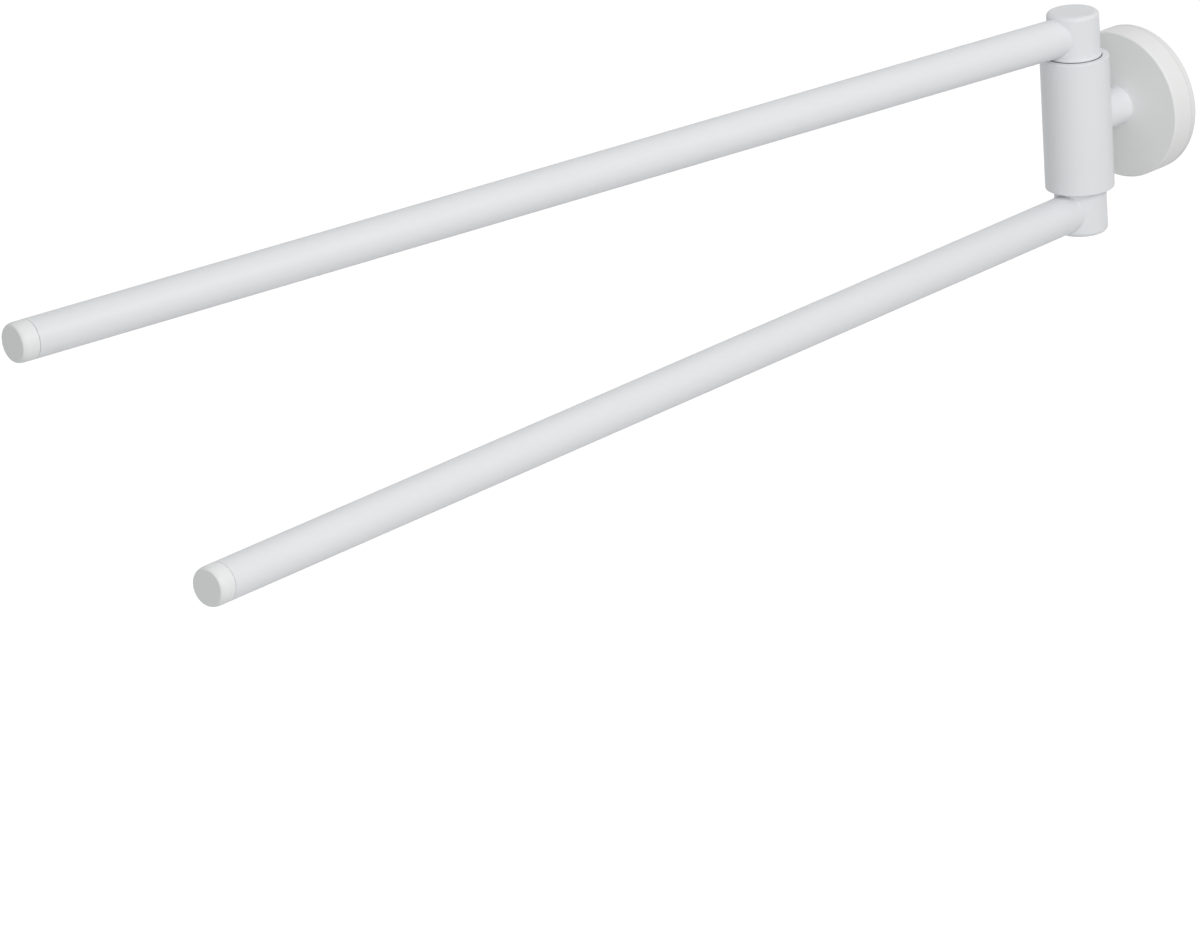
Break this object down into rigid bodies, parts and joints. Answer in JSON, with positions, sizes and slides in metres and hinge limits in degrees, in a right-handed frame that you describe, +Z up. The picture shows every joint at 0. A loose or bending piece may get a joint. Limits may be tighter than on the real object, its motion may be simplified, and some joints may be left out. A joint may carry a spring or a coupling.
{
  "type": "swivel-arm towel holder",
  "caption": "White wall-mounted towel holder: a round rosette and short stem carry an upright barrel, with a long plain tube arm swivelling at its top and another at its bottom.",
  "frame": {"origin": "middle of the round rosette, on the wall plane", "axes": "+Y goes into the wall, so the arms reach out along -Y; +Z is up, along the swivel axis; +X is to the right for someone who faces the wall"},
  "size_m": [0.1002, 0.4581, 0.0762],
  "materials": {
    "white_coat": "satin",
    "cap_plastic": "satin",
    "bush_plastic": "matte",
    "pad_plastic": "matte",
    "gasket_rubber": "matte",
    "plated_steel": "satin",
    "screw_steel": "satin"
  },
  "bodies": {
    "wall_mount": {"wall_gasket": "gasket_rubber", "wall_plate": "plated_steel", "rosette": "white_coat", "rosette_grub_screw": "screw_steel", "stem": "white_coat", "stem_dowel": "screw_steel", "lock_washer": "screw_steel", "clamp_screw": "screw_steel", "barrel": "white_coat", "upper_bush": "bush_plastic", "lower_bush": "bush_plastic", "upper_tension_screw": "screw_steel", "lower_tension_screw": "screw_steel", "upper_brake_pad": "pad_plastic", "lower_brake_pad": "pad_plastic"},
    "upper_arm": {"upper_head": "white_coat", "upper_tube": "white_coat", "upper_end_cap": "cap_plastic"},
    "lower_arm": {"lower_head": "white_coat", "lower_tube": "white_coat", "lower_end_cap": "cap_plastic"}
  },
  "joints": [
    {"name": "upper_arm_swivel", "type": "hinge", "parent": "wall_mount", "child": "upper_arm", "pos_m": [0, -0.0315, 0.0303], "axis": [0, 0, 1], "range_deg": [-80.7, 99.3]},
    {"name": "lower_arm_swivel", "type": "hinge", "parent": "wall_mount", "child": "lower_arm", "pos_m": [0, -0.0315, -0.0303], "axis": [0, 0, 1], "range_deg": [-91.93, 88.07]}
  ]
}
